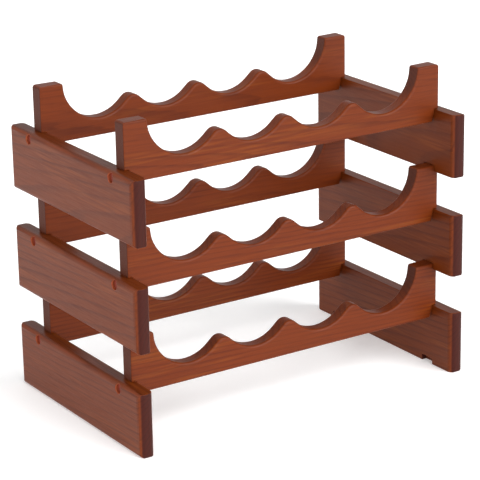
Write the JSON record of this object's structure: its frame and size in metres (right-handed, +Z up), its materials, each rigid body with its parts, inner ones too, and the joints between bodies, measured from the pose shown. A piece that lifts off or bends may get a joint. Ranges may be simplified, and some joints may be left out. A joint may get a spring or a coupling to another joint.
{
  "type": "wine rack",
  "caption": "Stackable wooden wine rack: identical tiers with scalloped front and back rails dowelled to plain side boards; each tier lifts off the one below.",
  "frame": {"origin": "floor level, in the middle of the rectangle that the rack covers", "axes": "+X across the bottle places from the left board to the right board, +Y from the front rails to the back rails, +Z up"},
  "size_m": [0.457, 0.283, 0.378],
  "materials": {
    "rail_wood": "satin lacquer over an orange-red mahogany stain, grain along the rail",
    "board_wood": "satin lacquer over a red-brown mahogany stain, grain along the board",
    "dowel_wood": "stained end grain of a hardwood dowel, slightly sunk"
  },
  "bodies": {
    "bottom_tier": {"bottom_front_rail": "rail_wood", "bottom_back_rail": "rail_wood", "bottom_left_board": "board_wood", "bottom_right_board": "board_wood", "bottom_front_left_dowel": "dowel_wood", "bottom_front_right_dowel": "dowel_wood", "bottom_back_left_dowel": "dowel_wood", "bottom_back_right_dowel": "dowel_wood"},
    "middle_tier": {"middle_front_rail": "rail_wood", "middle_back_rail": "rail_wood", "middle_left_board": "board_wood", "middle_right_board": "board_wood", "middle_front_left_dowel": "dowel_wood", "middle_front_right_dowel": "dowel_wood", "middle_back_left_dowel": "dowel_wood", "middle_back_right_dowel": "dowel_wood"},
    "top_tier": {"top_front_rail": "rail_wood", "top_back_rail": "rail_wood", "top_left_board": "board_wood", "top_right_board": "board_wood", "top_front_left_dowel": "dowel_wood", "top_front_right_dowel": "dowel_wood", "top_back_left_dowel": "dowel_wood", "top_back_right_dowel": "dowel_wood"}
  },
  "joints": [
    {"name": "middle_tier_lift", "type": "slide", "parent": "bottom_tier", "child": "middle_tier", "axis": [0, 0, 1], "range_m": [0, 0.06]},
    {"name": "top_tier_lift", "type": "slide", "parent": "middle_tier", "child": "top_tier", "axis": [0, 0, 1], "range_m": [0, 0.06]}
  ]
}
